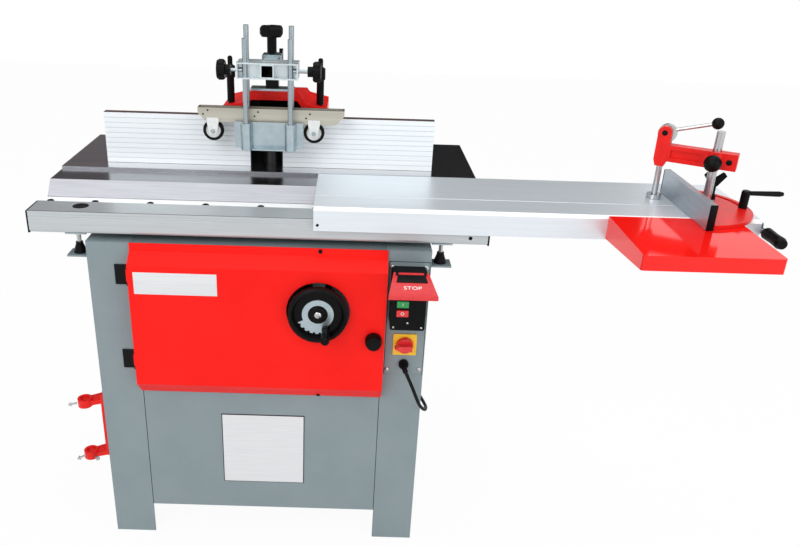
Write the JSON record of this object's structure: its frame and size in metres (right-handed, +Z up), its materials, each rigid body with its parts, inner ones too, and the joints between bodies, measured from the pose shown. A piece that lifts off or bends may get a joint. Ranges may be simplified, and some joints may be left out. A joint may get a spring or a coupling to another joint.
{
  "type": "spindle moulder",
  "caption": "Floor-standing spindle moulder with a sliding table, mitre with hold-down clamp, hooded fence with pressing device and a height-adjusting belt drive.",
  "frame": {"origin": "middle of the bounding box of everything but the cord, at the floor", "axes": "+X to the machine's right along the sliding table's travel, +Y away from the operator to the extraction outlet, +Z up"},
  "size_m": [1.6276, 0.777, 1.24],
  "materials": {
    "cabinet_paint": "satin grey paint",
    "table_iron": "ground cast iron",
    "light_alloy": "drawn aluminium",
    "bright_steel": "turned steel",
    "black_paint": "satin black paint",
    "black_plastic": "moulded black plastic",
    "yellow_plastic": "gloss yellow plastic",
    "red_paint": "smooth red paint",
    "cord_rubber": "matt rubber",
    "motor_paint": "grey paint",
    "belt_rubber": "moulded rubber",
    "red_plastic": "gloss red plastic",
    "green_plastic": "gloss green plastic",
    "castor_plastic": "pale plastic"
  },
  "bodies": {
    "frame": {"cabinet_left_side": "cabinet_paint", "cabinet_right_side": "cabinet_paint", "front_panel": "cabinet_paint", "rear_panel": "cabinet_paint", "table": "table_iron", "table_rings": "table_iron", "rail": "light_alloy", "lift_bracket": "bright_steel", "hinge_leaves": "black_paint", "switch_plate": "cabinet_paint", "switch_box": "black_plastic", "isolator_plate": "yellow_plastic", "cable_gland": "black_plastic", "support_bracket": "red_paint", "power_cord": "cord_rubber", "cord_coil": "cord_rubber", "cord_plug": "cord_rubber"},
    "handwheel": {"handwheel": "black_plastic", "wheel_shaft": "bright_steel"},
    "crank_grip": {"crank_grip": "black_plastic"},
    "lift_screw": {"lift_screw": "bright_steel"},
    "lift": {"spindle_housing": "table_iron", "motor": "motor_paint", "drive_belt": "belt_rubber"},
    "motor_rotor": {"motor_pulley": "bright_steel"},
    "spindle": {"spindle_shaft": "bright_steel", "spindle_pulley": "bright_steel", "arbor_rings": "bright_steel"},
    "door": {"door": "red_paint"},
    "door_knob": {"door_knob": "black_plastic"},
    "stop_flap": {"stop_flap": "red_plastic"},
    "start_button": {"start_button": "green_plastic"},
    "stop_button": {"stop_button": "red_plastic"},
    "isolator_knob": {"isolator_knob": "red_plastic"},
    "slider": {"sliding_table": "light_alloy", "tray": "red_paint", "push_grip": "black_plastic"},
    "mitre": {"mitre_plate": "red_paint", "mitre_fence": "light_alloy"},
    "mitre_lever": {"mitre_lever": "black_plastic"},
    "wing_knob": {"wing_knob": "black_plastic"},
    "clamp_column": {"clamp_column": "bright_steel"},
    "clamp_arm": {"clamp_arm": "red_paint"},
    "arm_knob": {"arm_knob": "black_plastic"},
    "cam_lever": {"cam_lever": "bright_steel"},
    "press_rod": {"press_rod": "bright_steel"},
    "hood": {"hood": "red_paint", "press_post": "black_paint"},
    "left_fence": {"left_fence": "light_alloy"},
    "right_fence": {"right_fence": "light_alloy"},
    "left_hood_handle": {"left_hood_handle": "black_plastic"},
    "right_hood_handle": {"right_hood_handle": "black_plastic"},
    "press_tube": {"press_tube": "black_paint"},
    "press_shoe": {"press_shoe": "black_paint"},
    "press_bar": {"press_bar": "black_paint"},
    "castor_left": {"castor_left": "castor_plastic"},
    "castor_right": {"castor_right": "castor_plastic"},
    "left_star_knob": {"left_star_knob": "black_plastic"},
    "right_star_knob": {"right_star_knob": "black_plastic"},
    "top_knob": {"top_knob": "black_plastic"}
  },
  "joints": [
    {"name": "handwheel_turn", "type": "hinge", "parent": "frame", "child": "handwheel", "pos_m": [-0.18278, 0.1665, 0.667], "axis": [0, 1, 0], "range_deg": [-721, 2521]},
    {"name": "crank_grip_turn", "type": "hinge", "parent": "handwheel", "child": "crank_grip", "pos_m": [-0.16478, -0.2285, 0.631], "axis": [0, 1, 0], "continuous": true},
    {"name": "lift_screw_turn", "type": "hinge", "parent": "frame", "child": "lift_screw", "pos_m": [-0.18278, 0.1665, 0.667], "axis": [0, 0, 1], "range_deg": [-721, 2521]},
    {"name": "spindle_lift", "type": "slide", "parent": "frame", "child": "lift", "axis": [0, 0, 1], "range_m": [-0.02, 0.07]},
    {"name": "motor_turn", "type": "hinge", "parent": "lift", "child": "motor_rotor", "pos_m": [-0.48078, 0.1415, 0.5], "axis": [0, 0, 1], "continuous": true},
    {"name": "spindle_turn", "type": "hinge", "parent": "lift", "child": "spindle", "pos_m": [-0.31578, 0.1665, 0.7], "axis": [0, 0, 1], "continuous": true},
    {"name": "door_swing", "type": "hinge", "parent": "frame", "child": "door", "pos_m": [-0.60578, -0.164, 0.6], "axis": [0, 0, 1], "range_deg": [-100, 0]},
    {"name": "door_latch", "type": "hinge", "parent": "door", "child": "door_knob", "pos_m": [-0.05778, -0.1885, 0.6], "axis": [0, 1, 0], "range_deg": [-90, 0]},
    {"name": "stop_flap_swing", "type": "hinge", "parent": "frame", "child": "stop_flap", "pos_m": [0.01472, -0.2165, 0.768], "axis": [1, 0, 0], "range_deg": [0, 75]},
    {"name": "start_press", "type": "slide", "parent": "frame", "child": "start_button", "axis": [0, 1, 0], "range_m": [0, 0.004], "stiffness_N_per_m": 400},
    {"name": "stop_press", "type": "slide", "parent": "frame", "child": "stop_button", "axis": [0, 1, 0], "range_m": [0, 0.004], "stiffness_N_per_m": 400},
    {"name": "isolator_turn", "type": "hinge", "parent": "frame", "child": "isolator_knob", "pos_m": [0.01622, -0.1705, 0.573], "axis": [0, 1, 0], "range_deg": [0, 90]},
    {"name": "slider_travel", "type": "slide", "parent": "frame", "child": "slider", "axis": [1, 0, 0], "range_m": [-1.15, 0]},
    {"name": "mitre_swing", "type": "hinge", "parent": "slider", "child": "mitre", "pos_m": [0.61922, -0.1055, 0.906], "axis": [0, 0, 1], "range_deg": [-60, 0]},
    {"name": "mitre_lever_turn", "type": "hinge", "parent": "slider", "child": "mitre_lever", "pos_m": [0.73378, -0.11552, 0.93], "axis": [0, 0, 1], "range_deg": [-80, 80]},
    {"name": "wing_knob_turn", "type": "hinge", "parent": "mitre", "child": "wing_knob", "pos_m": [0.68822, -0.0585, 0.94], "axis": [0, 0, 1], "range_deg": [-180, 180]},
    {"name": "column_turn", "type": "hinge", "parent": "mitre", "child": "clamp_column", "pos_m": [0.66322, -0.0915, 1], "axis": [0, 0, 1], "range_deg": [0, 60]},
    {"name": "arm_height", "type": "slide", "parent": "clamp_column", "child": "clamp_arm", "axis": [0, 0, 1], "range_m": [0, 0.035]},
    {"name": "arm_knob_turn", "type": "hinge", "parent": "clamp_arm", "child": "arm_knob", "pos_m": [0.66322, -0.0915, 1.01], "axis": [-0.5038, -0.8638, 0], "continuous": true},
    {"name": "cam_lever_swing", "type": "hinge", "parent": "clamp_arm", "child": "cam_lever", "pos_m": [0.56906, -0.03659, 1.054], "axis": [-0.5038, -0.8638, 0], "range_deg": [0, 75]},
    {"name": "press_rod_travel", "type": "slide", "parent": "clamp_arm", "child": "press_rod", "axis": [0, 0, 1], "range_m": [0, 0.0045]},
    {"name": "hood_travel", "type": "slide", "parent": "frame", "child": "hood", "axis": [0, 1, 0], "range_m": [0, 0.05]},
    {"name": "left_fence_travel", "type": "slide", "parent": "hood", "child": "left_fence", "axis": [1, 0, 0], "range_m": [-0.05, 0.02]},
    {"name": "right_fence_travel", "type": "slide", "parent": "hood", "child": "right_fence", "axis": [1, 0, 0], "range_m": [-0.005, 0.05]},
    {"name": "left_handle_turn", "type": "hinge", "parent": "hood", "child": "left_hood_handle", "pos_m": [-0.41678, 0.1815, 1], "axis": [0, 0, 1], "continuous": true},
    {"name": "right_handle_turn", "type": "hinge", "parent": "hood", "child": "right_hood_handle", "pos_m": [-0.19878, 0.1815, 1], "axis": [0, 0, 1], "continuous": true},
    {"name": "press_reach", "type": "slide", "parent": "hood", "child": "press_tube", "axis": [0, 1, 0], "range_m": [-0.04, 0.02]},
    {"name": "shoe_height", "type": "slide", "parent": "press_tube", "child": "press_shoe", "axis": [0, 0, 1], "range_m": [-0.055, 0.06]},
    {"name": "bar_height", "type": "slide", "parent": "press_tube", "child": "press_bar", "axis": [0, 0, 1], "range_m": [-0.07, 0.05]},
    {"name": "castor_left_turn", "type": "hinge", "parent": "press_bar", "child": "castor_left", "pos_m": [-0.44428, 0.0765, 1.001], "axis": [0, 1, 0], "continuous": true},
    {"name": "castor_right_turn", "type": "hinge", "parent": "press_bar", "child": "castor_right", "pos_m": [-0.20808, 0.0765, 1.001], "axis": [0, 1, 0], "continuous": true},
    {"name": "left_star_turn", "type": "hinge", "parent": "press_tube", "child": "left_star_knob", "pos_m": [-0.40578, 0.0465, 1.146], "axis": [1, 0, 0], "continuous": true},
    {"name": "right_star_turn", "type": "hinge", "parent": "press_tube", "child": "right_star_knob", "pos_m": [-0.21978, 0.0465, 1.146], "axis": [1, 0, 0], "continuous": true},
    {"name": "top_knob_turn", "type": "hinge", "parent": "hood", "child": "top_knob", "pos_m": [-0.31278, 0.1515, 1.19], "axis": [0, 0, 1], "continuous": true}
  ],
  "couplings": [
    {"joint": "lift_screw_turn", "follows": "spindle_lift", "rad_per_m": 628.32},
    {"joint": "handwheel_turn", "follows": "spindle_lift", "rad_per_m": 628.32},
    {"joint": "spindle_turn", "follows": "motor_turn", "ratio": 1.625},
    {"joint": "press_rod_travel", "follows": "cam_lever_swing", "m_per_rad": 0.0034}
  ]
}
